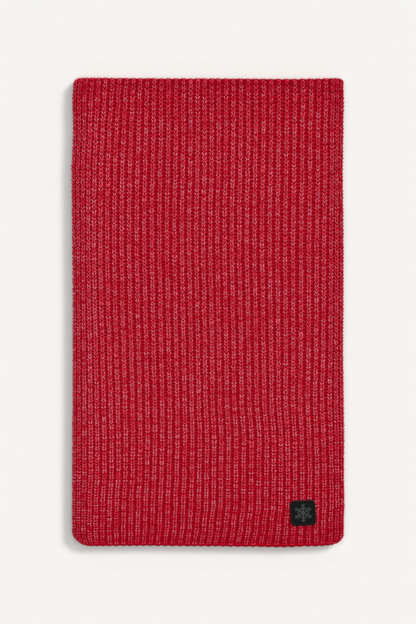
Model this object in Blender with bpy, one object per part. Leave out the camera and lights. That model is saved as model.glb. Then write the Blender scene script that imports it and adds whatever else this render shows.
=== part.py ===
"""A chunky rib-knit scarf, folded twice into four layers and laid flat.

X runs across the cloth, Y along it from the free ends (-Y) to the folds (+Y), and Z up. The origin
is under the middle of the bundle, on the surface that it lies on. Lengths are in metres, apart from
the tables, whose columns are in millimetres.
"""

from bisect import bisect_right
from collections import namedtuple
from math import cos, pi, radians, sin, sqrt

import bmesh
import bpy

MM = 0.001
WIDTH = 0.262
LENGTH = 0.450
LAYER = 0.004
LAYERS = 4
STACK = LAYER * LAYERS
SEAM = 0.0003

# The ribs: raised wales of plain stitches, with narrow valleys of purl stitches between them.
WALES = 39
RIB_RISE = 0.0014
SHOULDER = 0.29  # of a wale's spacing, from its crest to where it starts to fall
SHOULDER_RISE = 0.72  # of the rib's rise

# The rounded sides and ends of one layer.
SIDE_ROUND = 0.006
SIDE_DROP = 0.42  # of the layer, lost at its very side
FOLD_FULLNESS = 0.6  # of that drop, filled out again on the outer fold
SIDE_UNDERCUT = 0.0012  # how far a layer's top and bottom lie in from its widest point
SIDE_MIDDLE = 0.4  # height of a layer's widest point, as a share of the layer
END_ROUND = 0.005
END_DROP = 0.28
INNER_POINTS = 9  # across a plain inside

# The outer fold turns through half a circle as high as the stack, round the inner fold.
FOLD_RADIUS = STACK / 2
FOLD_INSIDE = FOLD_RADIUS - LAYER
FOLD_STEPS = 7
FACET_ROOM = 0.0002  # that the outer fold's flat facets take from its inside
INNER_FOLD_RADIUS = FOLD_INSIDE - SEAM - FACET_ROOM

# The corners: free ends are cut round by the edge stitches, folds by the roll of the cloth.
CORNER_REACH = 0.032
CORNER_SHARE = 0.92  # of a corner's radius, past which the end edge takes over
FREE_CORNER_LEFT = 0.0136
FREE_CORNER_RIGHT = 0.0096
FOLD_CORNER_LEFT = 0.0048
FOLD_CORNER_RIGHT = 0.0034
CORNER_STEPS = (0.0, 0.0014, 0.004, 0.008, 0.013)

# The cast-on and bound-off edges: a chain of stitches along each free end.
EDGE_RADIUS = 0.0015
EDGE_SIDES = 8
EDGE_STEPS = 32
EDGE_THIN = 0.55  # of the chain's radius, left at its two ends

# The sewn-on badge.
BADGE_AT = (0.0912, -0.1926)
BADGE_SIDE = 0.0246
BADGE_TURN = radians(2.5)
BADGE_ROUND = 0.0042
BADGE_THICK = 0.0011
BORDER_WIDTH = 0.0022
BORDER_HEIGHT = 0.0017
BADGE_CORNER_STEPS = 5

# Distance between neighbouring crests at mid length, in mm, where "between" is a wale number.
Pitch = namedtuple("Pitch", "between spacing")
PITCHES = (
    Pitch(0.5, 4.2),
    Pitch(2.5, 5.4),
    Pitch(5.5, 6.6),
    Pitch(8.5, 7.1),
    Pitch(14.5, 7.2),
    Pitch(18.5, 6.7),
    Pitch(26.5, 7.3),
    Pitch(32.5, 7.7),
    Pitch(35.5, 6.7),
    Pitch(36.5, 5.1),
    Pitch(37.5, 5.0),
)
FIRST_CREST = 0.0016  # in from the left side

# How the cloth wanders, in mm: the distance from the free end, how far each side lies in from the
# widest line, and how far the ribs lean to the right at five wales between the sides.
Course = namedtuple(
    "Course", "from_end left_side left inner_left middle inner_right right right_side"
)
COURSES = (
    Course(0, 0.5, 1.2, -2.2, -2.2, -1.6, -1.4, 0.6),
    Course(20, 0.5, 0.9, -0.3, 0.4, 1.3, -1.5, 0.6),
    Course(40, 0.5, 1.3, 0.0, 2.2, 3.0, -1.2, 0.0),
    Course(72, 0.7, 2.8, 1.4, 2.6, 3.6, -0.8, 0.5),
    Course(102, 0.8, 2.8, 2.0, 2.9, 3.8, -1.8, 0.3),
    Course(140, 1.1, 1.7, 1.9, 1.4, 1.7, -2.7, 0.8),
    Course(188, 1.1, 0.6, 1.0, 1.2, 1.3, -1.1, 1.3),
    Course(236, 1.1, -0.9, 0.1, 0.2, 0.3, -0.9, 1.0),
    Course(284, 0.8, -1.4, -0.6, -0.7, -0.6, -0.9, 0.8),
    Course(322, 0.4, -0.9, -0.4, -0.1, -0.1, 0.1, 1.2),
    Course(360, 0.0, 0.1, 0.9, 1.4, 0.9, 1.2, 1.6),
    Course(400, 1.5, 0.2, 0.5, 0.5, 0.8, 0.6, 1.0),
    Course(428, 0.9, 2.5, 0.5, 0.5, 0.8, 1.2, 0.6),
    Course(450, 2.2, 3.1, 0.5, 0.4, 0.8, 1.6, 1.2),
)
LEANS = ("left", "inner_left", "middle", "inner_right", "right")
LEAN_WALES = (-0.5, 6.0, 14.0, 20.0, 26.0, 35.0, 38.5)  # the five wales, between the two sides

# How far the free ends and the folds stop short of the full length, in mm, across the cloth.
EndLine = namedtuple("EndLine", "across free_end fold")
END_LINES = (
    EndLine(-131, 1.8, 0.0),
    EndLine(-110, 1.0, 0.0),
    EndLine(-60, 1.4, 0.4),
    EndLine(0, 0.9, 0.6),
    EndLine(40, 0.5, 0.8),
    EndLine(70, 0.0, 1.0),
    EndLine(100, 0.9, 0.8),
    EndLine(131, 2.4, 0.3),
)

# The three layers under the front one, from the floor up. Insets are in mm. The two lowest are
# joined by the middle fold of the scarf, and the third ends in the cast-on edge.
HiddenLayer = namedtuple("HiddenLayer", "left_inset right_inset end_inset folded")
HIDDEN_LAYERS = (
    HiddenLayer(0.9, 0.5, 1.4, True),
    HiddenLayer(0.4, 1.1, 1.4, True),
    HiddenLayer(1.2, 0.7, 4.9, False),
)
LayerEdge = namedtuple("LayerEdge", "height undercut")  # shares of the layer and SIDE_UNDERCUT
LAYER_EDGES = (LayerEdge(0.14, 0.42), LayerEdge(0.5, 0.0), LayerEdge(0.86, 0.42))
GROOVE = 0.0007  # further in than the undercut, between two layers
END_MARGIN = 0.004  # between the free corners and the first rib of the middle fold

SHARP_OVER = radians(50)

Finish = namedtuple("Finish", "name colour roughness")
CRIMSON_KNIT = Finish("crimson knit", (0.36, 0.013, 0.030, 1.0), 0.92)
SOOT_TWILL = Finish("soot twill", (0.012, 0.013, 0.013, 1.0), 0.85)
SOOT_THREAD = Finish("soot thread", (0.010, 0.011, 0.011, 1.0), 0.6)


def clear_scene():
    for obj in list(bpy.data.objects):
        bpy.data.objects.remove(obj, do_unlink=True)


def ease(t):
    """0 to 1 with no slope at either end."""
    t = min(max(t, 0.0), 1.0)
    return t * t * (3 - 2 * t)


def follow(places, values, at):
    """A smooth reading of values given at rising places, level past both ends."""
    k = min(max(bisect_right(places, at) - 1, 0), len(places) - 2)
    t = (at - places[k]) / (places[k + 1] - places[k])
    return values[k] + (values[k + 1] - values[k]) * ease(t)


def column(table, name, at):
    """A named column of a table in mm, read at a place along its first column."""
    places = [row[0] * MM for row in table]
    return follow(places, [getattr(row, name) * MM for row in table], at)


def spacing_after(wale):
    """The distance from this wale's crest to the next one's, at mid length."""
    return follow([p.between for p in PITCHES], [p.spacing * MM for p in PITCHES], wale + 0.5)


def crest_shares():
    """Where each wale's crest lies at mid length, as a share of the width there."""
    across = [FIRST_CREST]
    for wale in range(WALES - 1):
        across.append(across[-1] + spacing_after(wale))
    full = across[-1] + FIRST_CREST
    return [a / full for a in across]


CRESTS = crest_shares()


def share_of(wale):
    """The place across the cloth, from 0 to 1, of a wale number that may lie between wales."""
    if wale <= 0:
        return CRESTS[0] * max(0.0, 1 + 2 * wale)
    if wale >= WALES - 1:
        return 1 - (1 - CRESTS[-1]) * max(0.0, 1 - 2 * (wale - WALES + 1))
    k = int(wale)
    return CRESTS[k] + (CRESTS[k + 1] - CRESTS[k]) * (wale - k)


def corner_pull(to_end, radius):
    """How far a rounded corner draws the side in, at a distance from the end."""
    past = min(max(radius - to_end, 0.0), CORNER_SHARE * radius)
    return radius - sqrt(radius * radius - past * past)


def free_end(x):
    return -LENGTH / 2 + column(END_LINES, "free_end", x)


def fold_end(x):
    return LENGTH / 2 - column(END_LINES, "fold", x)


def sides(from_end, to_fold):
    """The left and right side of the cloth at a place along it, and how far corners draw them in."""
    left = -WIDTH / 2 + column(COURSES, "left_side", from_end)
    right = WIDTH / 2 - column(COURSES, "right_side", from_end)
    free_left = corner_pull(from_end, FREE_CORNER_LEFT)
    free_right = corner_pull(from_end, FREE_CORNER_RIGHT)
    pull_left = max(free_left, corner_pull(to_fold, FOLD_CORNER_LEFT))
    pull_right = max(free_right, corner_pull(to_fold, FOLD_CORNER_RIGHT))
    return left, right, pull_left, pull_right


def lean(wale, from_end):
    """How far a rib lies from its straight run, to the right."""
    leans = [0.0] + [column(COURSES, name, from_end) for name in LEANS] + [0.0]
    return follow(LEAN_WALES, leans, wale)


def across(wale, from_end, to_fold):
    """X of a wale number at a place along the cloth. Corners gather the ribs near them."""
    left, right, pull_left, pull_right = sides(from_end, to_fold)
    share = share_of(wale)
    from_left = share * (right - left)
    from_right = (1 - share) * (right - left)
    near_left = max(0.0, 1 - from_left / CORNER_REACH) ** 2
    near_right = max(0.0, 1 - from_right / CORNER_REACH) ** 2
    x = left + from_left + lean(wale, from_end)
    return x + pull_left * near_left - pull_right * near_right


def outer_profile():
    """(wale number, rise share) of a ribbed layer's outer points, from the left side to the right."""
    profile = []
    for wale in range(WALES):
        profile.append((wale - SHOULDER, SHOULDER_RISE))
        profile.append((wale, 1.0))
        profile.append((wale + SHOULDER, SHOULDER_RISE))
        if wale < WALES - 1:
            profile.append((wale + 0.5, 0.0))
    return profile


def material_for(finish):
    """The Principled material of a finish, made once."""
    material = bpy.data.materials.get(finish.name)
    if material is None:
        material = bpy.data.materials.new(finish.name)
        material.use_nodes = True
        shader = material.node_tree.nodes["Principled BSDF"]
        shader.inputs["Base Color"].default_value = finish.colour
        shader.inputs["Roughness"].default_value = finish.roughness
        shader.inputs["Metallic"].default_value = 0.0
    return material


def new_object(name, bm, finish):
    """Puts a finished mesh in the scene as one named object."""
    bmesh.ops.recalc_face_normals(bm, faces=bm.faces)
    mesh = bpy.data.meshes.new(name)
    bm.to_mesh(mesh)
    bm.free()
    mesh.shade_smooth()
    mesh.set_sharp_from_angle(angle=SHARP_OVER)
    mesh.materials.append(material_for(finish))
    obj = bpy.data.objects.new(name, mesh)
    bpy.context.scene.collection.objects.link(obj)
    return obj


def loft(rings, closed=False):
    """A solid through rings of equal counts, capped at both ends unless it closes on itself."""
    bm = bmesh.new()
    loops = [[bm.verts.new(point) for point in ring] for ring in rings]
    pairs = list(zip(loops, loops[1:] + loops[:1])) if closed else list(zip(loops, loops[1:]))
    for lower, upper in pairs:
        for k in range(len(lower)):
            after = (k + 1) % len(lower)
            bm.faces.new((lower[k], lower[after], upper[after], upper[k]))
    if not closed:
        caps = [bm.faces.new(loops[0]), bm.faces.new(loops[-1])]
        bmesh.ops.triangulate(bm, faces=caps)
    return bm


# The front stretch: the top layer and the outer fold, as one ribbed wall with a plain inside.


def front_point(x, height, from_end, turn):
    """A point of the front wall: height is above its plain inside, turn is round the fold."""
    if turn is None:
        y = free_end(x) + from_end * (fold_end(x) - free_end(x)) / LENGTH
        return (x, y, STACK - LAYER + height)
    radius = FOLD_INSIDE + height
    y = fold_end(x) - FOLD_RADIUS + radius * sin(turn)
    return (x, y, FOLD_RADIUS + radius * cos(turn))


def front_ring(from_end, turn=None):
    """One section of the front wall: ribbed outside, side edges, plain inside."""
    to_fold = LENGTH - from_end if turn is None else FOLD_RADIUS * (1 - sin(turn))
    left, right, pull_left, pull_right = sides(from_end, to_fold)
    left += pull_left
    right -= pull_right
    end_share = 1 - END_DROP * (1 - ease((from_end - 2 * EDGE_RADIUS) / END_ROUND))
    side_drop = SIDE_DROP * (1 - FOLD_FULLNESS * (sin(turn) if turn else 0.0))
    ring = []
    for wale, rise in outer_profile():
        x = across(wale, from_end, to_fold)
        x = min(max(x, left + SIDE_UNDERCUT), right - SIDE_UNDERCUT)
        to_side = max(0.0, 1 - min(x - left, right - x) / SIDE_ROUND)
        side_share = 1 - side_drop * to_side * to_side
        height = (LAYER - RIB_RISE * (1 - rise)) * side_share * end_share
        ring.append(front_point(x, height, from_end, turn))
    ring.append(front_point(right, SIDE_MIDDLE * LAYER, from_end, turn))
    for k in range(INNER_POINTS):
        share = k / (INNER_POINTS - 1)
        x = (right - SIDE_UNDERCUT) * (1 - share) + (left + SIDE_UNDERCUT) * share
        ring.append(front_point(x, 0.0, from_end, turn))
    ring.append(front_point(left, SIDE_MIDDLE * LAYER, from_end, turn))
    return ring


def front_stations():
    """Distances from the free end of the flat sections, closer together round the free corners."""
    start = 2 * EDGE_RADIUS + SEAM
    corner = [start + step for step in CORNER_STEPS]
    runs = [row.from_end * MM for row in COURSES if row.from_end * MM > corner[-1]]
    last = LENGTH - FOLD_RADIUS
    return corner + [run for run in runs if run < last - 0.005]


def build_front_stretch():
    rings = [front_ring(station) for station in front_stations()]
    for step in range(FOLD_STEPS):
        turn = pi * step / (FOLD_STEPS - 1)
        rings.append(front_ring(LENGTH - FOLD_RADIUS, turn))
    return new_object("front_stretch", loft(rings), CRIMSON_KNIT)


# The folded layers: everything under the front stretch, one rounded solid with a flat underside.


HiddenLevel = namedtuple("HiddenLevel", "height left right crest valley fold")


def hidden_levels():
    """The heights at which the hidden layers' outline is cut, from the floor up."""
    levels = [hidden_level(HIDDEN_LAYERS[0], 0.0, SIDE_UNDERCUT)]
    for number, layer in enumerate(HIDDEN_LAYERS):
        if number:
            levels.append(hidden_level(layer, number * LAYER, SIDE_UNDERCUT + GROOVE))
        for edge in LAYER_EDGES:
            height = (number + edge.height) * LAYER
            levels.append(hidden_level(layer, height, edge.undercut * SIDE_UNDERCUT))
    levels.append(hidden_level(HIDDEN_LAYERS[-1], STACK - LAYER - SEAM, SIDE_UNDERCUT))
    return levels


def hidden_level(layer, height, undercut):
    """How far each side, the free end's ribs and the inner fold reach at one height."""
    if layer.folded:
        nose = sqrt(max(0.0, 1 - (height / LAYER - 1) ** 2))
        crest = layer.end_inset * MM + LAYER * (1 - nose)
        valley = crest + RIB_RISE * nose
    else:
        crest = valley = layer.end_inset * MM + undercut
    off_middle = (height - FOLD_RADIUS) / INNER_FOLD_RADIUS
    fold = INNER_FOLD_RADIUS * sqrt(1 - off_middle**2) if abs(off_middle) < 1 else -SEAM
    left = layer.left_inset * MM + undercut
    right = layer.right_inset * MM + undercut
    return HiddenLevel(height, left, right, crest, valley, fold)


def hidden_point(x, share, end_reach, fold_reach, height):
    """A point on a hidden outline, at a share of that outline's own length from its free end."""
    low = free_end(x) + end_reach
    high = fold_end(x) - FOLD_RADIUS + fold_reach
    return (x, low + (high - low) * share, height)


def end_wales():
    """The half wales that reach the free end clear of its corners."""
    left, right, pull_left, pull_right = sides(0.0, LENGTH)
    halves = [half / 2 for half in range(2 * WALES - 1)]
    inside = (left + pull_left + END_MARGIN, right - pull_right - END_MARGIN)
    return [half for half in halves if inside[0] < across(half, 0.0, LENGTH) < inside[1]]


def hidden_ring(level):
    """The outline of the hidden layers at one height, anticlockwise from the left free corner."""
    stations = list(CORNER_STEPS[1:]) + [row.from_end * MM for row in COURSES[1:-1]]
    outline = []

    def add(x, share, reach):
        outline.append(hidden_point(x, share, reach, level.fold, level.height))

    def side_points(along):
        left, right, pull_left, pull_right = sides(along, LENGTH - along)
        return left + pull_left + level.left, right - pull_right - level.right

    end_left, end_right = side_points(0.0)
    add(end_left, 0.0, level.valley)
    for half in end_wales():
        add(across(half, 0.0, LENGTH), 0.0, level.crest if half == int(half) else level.valley)
    add(end_right, 0.0, level.valley)
    for station in stations:
        add(side_points(station)[1], station / LENGTH, level.valley)
    fold_left, fold_right = side_points(LENGTH - FOLD_INSIDE)
    for k in range(INNER_POINTS):
        add(fold_right + (fold_left - fold_right) * k / (INNER_POINTS - 1), 1.0, level.valley)
    for station in reversed(stations):
        add(side_points(station)[0], station / LENGTH, level.valley)
    return outline


def build_folded_layers():
    rings = [hidden_ring(level) for level in hidden_levels()]
    return new_object("folded_layers", loft(rings), CRIMSON_KNIT)


# The chains along the two free ends.


def build_end_chain(name, from_end, height, inset):
    """A rounded bead that follows a free end from side to side and thins out at both."""
    left, right, pull_left, pull_right = sides(from_end, LENGTH)
    left += pull_left + inset
    right -= pull_right + inset
    rings = []
    for step in range(EDGE_STEPS + 1):
        share = step / EDGE_STEPS
        x = left + (right - left) * share
        thin = EDGE_THIN + (1 - EDGE_THIN) * ease(min(share, 1 - share) * EDGE_STEPS / 2)
        ring = []
        for side in range(EDGE_SIDES):
            turn = 2 * pi * (side + 0.5) / EDGE_SIDES
            y = free_end(x) + from_end + EDGE_RADIUS * thin * cos(turn)
            ring.append((x, y, height + EDGE_RADIUS * thin * sin(turn)))
        rings.append(ring)
    return new_object(name, loft(rings), CRIMSON_KNIT)


# The badge lies on the crests of the front stretch, so it is made from that wall's own height.


def rounded_square(side, corner):
    """Points round a square with round corners, anticlockwise, about its own middle."""
    points = []
    for quarter in range(4):
        middle_x = (side / 2 - corner) * (1 if quarter in (0, 3) else -1)
        middle_y = (side / 2 - corner) * (1 if quarter in (0, 1) else -1)
        for step in range(BADGE_CORNER_STEPS):
            turn = pi / 2 * (quarter + step / (BADGE_CORNER_STEPS - 1))
            points.append((middle_x + corner * cos(turn), middle_y + corner * sin(turn)))
    return points


def on_crests(point, above):
    """A point of the badge's plan, turned and set down on the front stretch, moved out by above."""
    x = BADGE_AT[0] + point[0] * cos(BADGE_TURN) - point[1] * sin(BADGE_TURN)
    y = BADGE_AT[1] + point[0] * sin(BADGE_TURN) + point[1] * cos(BADGE_TURN)
    crest = front_point(x, LAYER, y - free_end(x), None)[2]
    return (x, y, crest + SEAM + above)


def badge_ring(inset, above):
    side = BADGE_SIDE - 2 * inset
    corner = max(BADGE_ROUND - inset, 0.0004)
    return [on_crests(point, above) for point in rounded_square(side, corner)]


def build_badge_patch():
    edge = BORDER_WIDTH + SEAM
    rings = [
        badge_ring(edge, 0.0),
        badge_ring(edge, BADGE_THICK * 0.8),
        badge_ring(edge + BADGE_THICK * 0.3, BADGE_THICK),
    ]
    return new_object("badge_patch", loft(rings), SOOT_TWILL)


def build_badge_border():
    """A rounded band round the patch, flat underneath."""
    profile = (
        (0.0, 0.0),
        (0.0, BORDER_HEIGHT * 0.5),
        (BORDER_WIDTH * 0.22, BORDER_HEIGHT * 0.88),
        (BORDER_WIDTH * 0.5, BORDER_HEIGHT),
        (BORDER_WIDTH * 0.78, BORDER_HEIGHT * 0.88),
        (BORDER_WIDTH, BORDER_HEIGHT * 0.5),
        (BORDER_WIDTH, 0.0),
    )
    rings = [badge_ring(inset, above) for inset, above in profile]
    return new_object("badge_border", loft(rings, closed=True), SOOT_THREAD)


def main():
    clear_scene()
    build_front_stretch()
    build_folded_layers()
    build_end_chain("bound_off_edge", EDGE_RADIUS, STACK - LAYER + EDGE_RADIUS, 0.0)
    build_end_chain("cast_on_edge", 2 * EDGE_RADIUS, STACK - 1.5 * LAYER, SIDE_UNDERCUT)
    build_badge_patch()
    build_badge_border()


main()
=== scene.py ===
"""A chunky rib-knit scarf, folded twice into four layers and laid flat: its yarn, edges and badge.

X runs across the cloth, Y along it from the free ends to the folds, and Z up, in metres. The cloth is
one long strip, and "along" is the distance on it from the free end that lies on top: over the front
stretch, round the outer fold, under the bundle, round the middle fold and back inside.
"""

from collections import namedtuple
from math import cos, pi, radians, sin

import bmesh
import bpy
import numpy as np
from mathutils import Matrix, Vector


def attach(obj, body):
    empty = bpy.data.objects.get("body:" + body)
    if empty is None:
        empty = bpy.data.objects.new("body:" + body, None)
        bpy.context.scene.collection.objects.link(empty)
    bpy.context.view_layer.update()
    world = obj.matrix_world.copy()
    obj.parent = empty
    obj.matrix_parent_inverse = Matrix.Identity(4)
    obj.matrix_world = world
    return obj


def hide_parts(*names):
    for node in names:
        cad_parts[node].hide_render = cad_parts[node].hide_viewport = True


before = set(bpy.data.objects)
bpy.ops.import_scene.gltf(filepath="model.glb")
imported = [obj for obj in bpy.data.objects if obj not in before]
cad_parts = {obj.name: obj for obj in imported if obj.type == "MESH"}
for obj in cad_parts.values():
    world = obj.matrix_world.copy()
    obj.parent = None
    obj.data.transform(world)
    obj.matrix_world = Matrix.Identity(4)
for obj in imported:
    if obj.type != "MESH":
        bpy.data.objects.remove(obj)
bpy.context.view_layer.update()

MM = 0.001
WIDTH = 0.262
LENGTH = 0.450
LAYERS = 4
LAYER = 0.004
STACK = LAYERS * LAYER
FLOOR_GAP = 0.00005

# The ribs and the rounded edges of one layer.
WALES = 39
SIDE_ROUND = 0.006
SIDE_DROP = 0.42  # of its height, at a side
FOLD_FULLNESS = 0.6  # of that drop, which the outer fold takes away
SIDE_UNDERCUT = 0.0012  # of the lower free end's chain, in from both sides
END_ROUND = 0.005
END_DROP = 0.28
LAST_DROP = 0.22  # more, right at the free end
FOLD_RADIUS = STACK / 2
FOLD_INSIDE = FOLD_RADIUS - LAYER
CORNER_REACH = 0.032  # in from a side, over which a corner gathers the ribs
CORNER_SHARE = 0.92  # of a corner's radius, which its curve goes on for
FREE_CORNER_LEFT = 0.0136
FREE_CORNER_RIGHT = 0.0096
FOLD_CORNER_LEFT = 0.0048
FOLD_CORNER_RIGHT = 0.0034
EDGE_RADIUS = 0.0015
NOSE_INSET = 0.0014  # of the middle fold, behind the free end on top
CAST_ON_INSET = 0.0049  # of the lower free end

BADGE_AT = (0.0912, -0.1926)
BADGE_SIDE = 0.0246
BADGE_TURN = radians(2.5)
BADGE_ROUND = 0.0042
BORDER_WIDTH = 0.0022
BORDER_HEIGHT = 0.0017

# Distance between neighbouring ribs at mid length, in mm, where "between" is a wale number.
Pitch = namedtuple("Pitch", "between spacing")
PITCHES = (
    Pitch(0.5, 4.2),
    Pitch(2.5, 5.4),
    Pitch(5.5, 6.6),
    Pitch(8.5, 7.1),
    Pitch(14.5, 7.2),
    Pitch(18.5, 6.7),
    Pitch(26.5, 7.3),
    Pitch(32.5, 7.7),
    Pitch(35.5, 6.7),
    Pitch(36.5, 5.1),
    Pitch(37.5, 5.0),
)
FIRST_CREST = 0.0016

# How the cloth wanders, in mm: how far each side lies in, and how far five ribs lean to the right.
Course = namedtuple(
    "Course", "from_end left_side left inner_left middle inner_right right right_side"
)
COURSES = (
    Course(0, 0.5, 1.2, -2.2, -2.2, -1.6, -1.4, 0.6),
    Course(20, 0.5, 0.9, -0.3, 0.4, 1.3, -1.5, 0.6),
    Course(40, 0.5, 1.3, 0.0, 2.2, 3.0, -1.2, 0.0),
    Course(72, 0.7, 2.8, 1.4, 2.6, 3.6, -0.8, 0.5),
    Course(102, 0.8, 2.8, 2.0, 2.9, 3.8, -1.8, 0.3),
    Course(140, 1.1, 1.7, 1.9, 1.4, 1.7, -2.7, 0.8),
    Course(188, 1.1, 0.6, 1.0, 1.2, 1.3, -1.1, 1.3),
    Course(236, 1.1, -0.9, 0.1, 0.2, 0.3, -0.9, 1.0),
    Course(284, 0.8, -1.4, -0.6, -0.7, -0.6, -0.9, 0.8),
    Course(322, 0.4, -0.9, -0.4, -0.1, -0.1, 0.1, 1.2),
    Course(360, 0.0, 0.1, 0.9, 1.4, 0.9, 1.2, 1.6),
    Course(400, 1.5, 0.2, 0.5, 0.5, 0.8, 0.6, 1.0),
    Course(428, 0.9, 2.5, 0.5, 0.5, 0.8, 1.2, 0.6),
    Course(450, 2.2, 3.1, 0.5, 0.4, 0.8, 1.6, 1.2),
)
LEANS = ("left", "inner_left", "middle", "inner_right", "right")
LEAN_WALES = (-0.5, 6.0, 14.0, 20.0, 26.0, 35.0, 38.5)

EndLine = namedtuple("EndLine", "across free_end fold")
END_LINES = (
    EndLine(-131, 1.8, 0.0),
    EndLine(-110, 1.0, 0.0),
    EndLine(-60, 1.4, 0.4),
    EndLine(0, 0.9, 0.6),
    EndLine(40, 0.5, 0.8),
    EndLine(70, 0.0, 1.0),
    EndLine(100, 0.9, 0.8),
    EndLine(131, 2.4, 0.3),
)

# The stretches of the strip, by their lengths. A fold's length is taken at its middle radius.
TOP_RUN = LENGTH - FOLD_RADIUS
UNDER_RUN = 0.4356
CAST_ON_RUN = 0.4361
Stretch = namedtuple("Stretch", "run left_inset right_inset")  # insets in mm
STRETCHES = (
    Stretch(TOP_RUN, 0.0, 0.0),
    Stretch(pi * 0.007, 0.5, 0.3),
    Stretch(UNDER_RUN, 0.9, 0.5),
    Stretch(pi * 0.0035, 0.7, 0.8),
    Stretch(UNDER_RUN, 0.4, 1.1),
    Stretch(pi * 0.002, 0.8, 0.9),
    Stretch(CAST_ON_RUN, 1.2, 0.7),
)
FRONT, OUTER_FOLD, UNDER, MIDDLE_FOLD, INSIDE, INNER_FOLD, LAST = range(len(STRETCHES))
ENDS = np.cumsum([stretch.run for stretch in STRETCHES])
STARTS = ENDS - [stretch.run for stretch in STRETCHES]
MIDDLES = (STARTS + ENDS) / 2

# Distance between rows of stitches, in mm, along the strip.
RowPitch = namedtuple("RowPitch", "along pitch")
ROW_PITCHES = (
    RowPitch(0, 2.34),
    RowPitch(26, 2.45),
    RowPitch(64, 2.7),
    RowPitch(108, 2.9),
    RowPitch(196, 3.14),
    RowPitch(285, 3.34),
    RowPitch(373, 3.52),
    RowPitch(417, 3.68),
    RowPitch(470, 3.6),
    RowPitch(900, 3.0),
    RowPitch(1360, 3.4),
    RowPitch(1800, 2.6),
)

FIRST_ROW = 0.0013  # from the free end
FOLD_CROWD = 0.011  # how far from a fold's middle its valleys fill up
TIGHT_UNTIL = 0.050
TIGHT_FADE = 0.150
END_SHADE_REACH = (0.012, 0.045)  # how far from the free end its stitches are painted darker, as painted shade where the cloth rounds off
FOLD_SHADE_REACH = (0.014, 0.070)  # and how far from the outer fold
FOLD_SHADE_PAST = 0.004
SIDE_SHADE = 0.5  # how much painted shade darkens the stitches at both sides, and over how many wales
SIDE_SHADE_WALES = 4.0

YARN_UV = "yarn"
YARN_CHANCE = "chance"  # a number for each stitch, from 0 to 1
YARN_SNUG = "snug"  # 1 where rows are tight, 0 where they are loose
YARN_EDGE_SHADE = "closed"  # 1 where painted shade darkens the stitches most, at the free end and round the outer fold, and a half at the sides
CLOTH_WALE = "wale"  # the numbers of the wale and the row, on the cloth between the stitches
CLOTH_ROW = "row"


# The strip's geometry, on arrays of places.


def ease(t):
    t = np.clip(t, 0.0, 1.0)
    return t * t * (3 - 2 * t)


def follow(places, values, at):
    """A smooth reading of values given at rising places, level past both ends."""
    places, values = np.asarray(places, float), np.asarray(values, float)
    k = np.clip(np.searchsorted(places, at, side="right") - 1, 0, len(places) - 2)
    t = (at - places[k]) / (places[k + 1] - places[k])
    return values[k] + (values[k + 1] - values[k]) * ease(t)


def column(table, name, at):
    """A named column of a table in mm, read at places along its first column."""
    return follow([row[0] * MM for row in table], [getattr(row, name) * MM for row in table], at)


def crest_shares():
    """Where each wale's crest lies at mid length, as a share of the width there."""
    between = np.arange(WALES - 1) + 0.5
    steps = follow([p.between for p in PITCHES], [p.spacing * MM for p in PITCHES], between)
    crests = FIRST_CREST + np.concatenate([[0.0], np.cumsum(steps)])
    return crests / (crests[-1] + FIRST_CREST)


CRESTS = crest_shares()


def share_of(wale):
    """The place across the cloth, from 0 to 1, of a wale number that may lie between wales."""
    inside = np.interp(wale, np.arange(WALES), CRESTS)
    before = CRESTS[0] * np.maximum(0.0, 1 + 2 * wale)
    after = 1 - (1 - CRESTS[-1]) * np.maximum(0.0, 1 - 2 * (wale - WALES + 1))
    return np.where(wale < 0, before, np.where(wale > WALES - 1, after, inside))


def corner_pull(to_end, radius):
    """How far a rounded corner draws the side in, at a distance from the end."""
    past = np.clip(radius - to_end, 0.0, CORNER_SHARE * radius)
    return radius - np.sqrt(radius * radius - past * past)


def free_end(x):
    return -LENGTH / 2 + column(END_LINES, "free_end", x)


def fold_end(x):
    return LENGTH / 2 - column(END_LINES, "fold", x)


def sides(from_end, to_fold):
    """The left and right side of the cloth at a place along it, and how far corners draw them in."""
    left = -WIDTH / 2 + column(COURSES, "left_side", from_end)
    right = WIDTH / 2 - column(COURSES, "right_side", from_end)
    free_left = corner_pull(from_end, FREE_CORNER_LEFT)
    free_right = corner_pull(from_end, FREE_CORNER_RIGHT)
    pull_left = np.maximum(free_left, corner_pull(to_fold, FOLD_CORNER_LEFT))
    pull_right = np.maximum(free_right, corner_pull(to_fold, FOLD_CORNER_RIGHT))
    return left, right, pull_left, pull_right


def lean(wale, from_end):
    """How far a rib lies from its straight run, to the right."""
    wale, from_end = np.broadcast_arrays(wale, from_end)
    level = np.zeros(from_end.shape)
    leans = np.stack([level] + [column(COURSES, name, from_end) for name in LEANS] + [level])
    places = np.array(LEAN_WALES)
    k = np.clip(np.searchsorted(places, wale, side="right") - 1, 0, len(places) - 2)
    t = ease((wale - places[k]) / (places[k + 1] - places[k]))
    low = np.take_along_axis(leans, k[None], 0)[0]
    high = np.take_along_axis(leans, k[None] + 1, 0)[0]
    return low + (high - low) * t


def along_stretches(along):
    """The stretch that each place lies on, and its share of every stretch."""
    number = np.clip(np.searchsorted(STARTS, along, side="right") - 1, 0, len(STRETCHES) - 1)
    shares = [(along - start) / (end - start) for start, end in zip(STARTS, ENDS)]
    return number, shares


def edge_distances(along):
    """How far each place lies from the free ends' line and from the folds' line."""
    number, s = along_stretches(along)
    nose = LAYER * (1 - np.sin(pi * np.clip(s[MIDDLE_FOLD], 0, 1)))
    fold = FOLD_RADIUS * (1 - np.sin(pi * np.clip(s[OUTER_FOLD], 0, 1)))
    top_end = np.full(np.shape(along), TOP_RUN)
    runs = [
        along,
        top_end,
        TOP_RUN + (LAYER - TOP_RUN) * s[UNDER],
        nose,
        LAYER + (TOP_RUN - LAYER) * s[INSIDE],
        top_end,
        TOP_RUN + (CAST_ON_INSET - TOP_RUN) * s[LAST],
    ]
    from_end = np.maximum(np.choose(number, runs), 0.0)
    to_fold = np.where(number == OUTER_FOLD, fold, LENGTH - from_end)
    return from_end, to_fold


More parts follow.
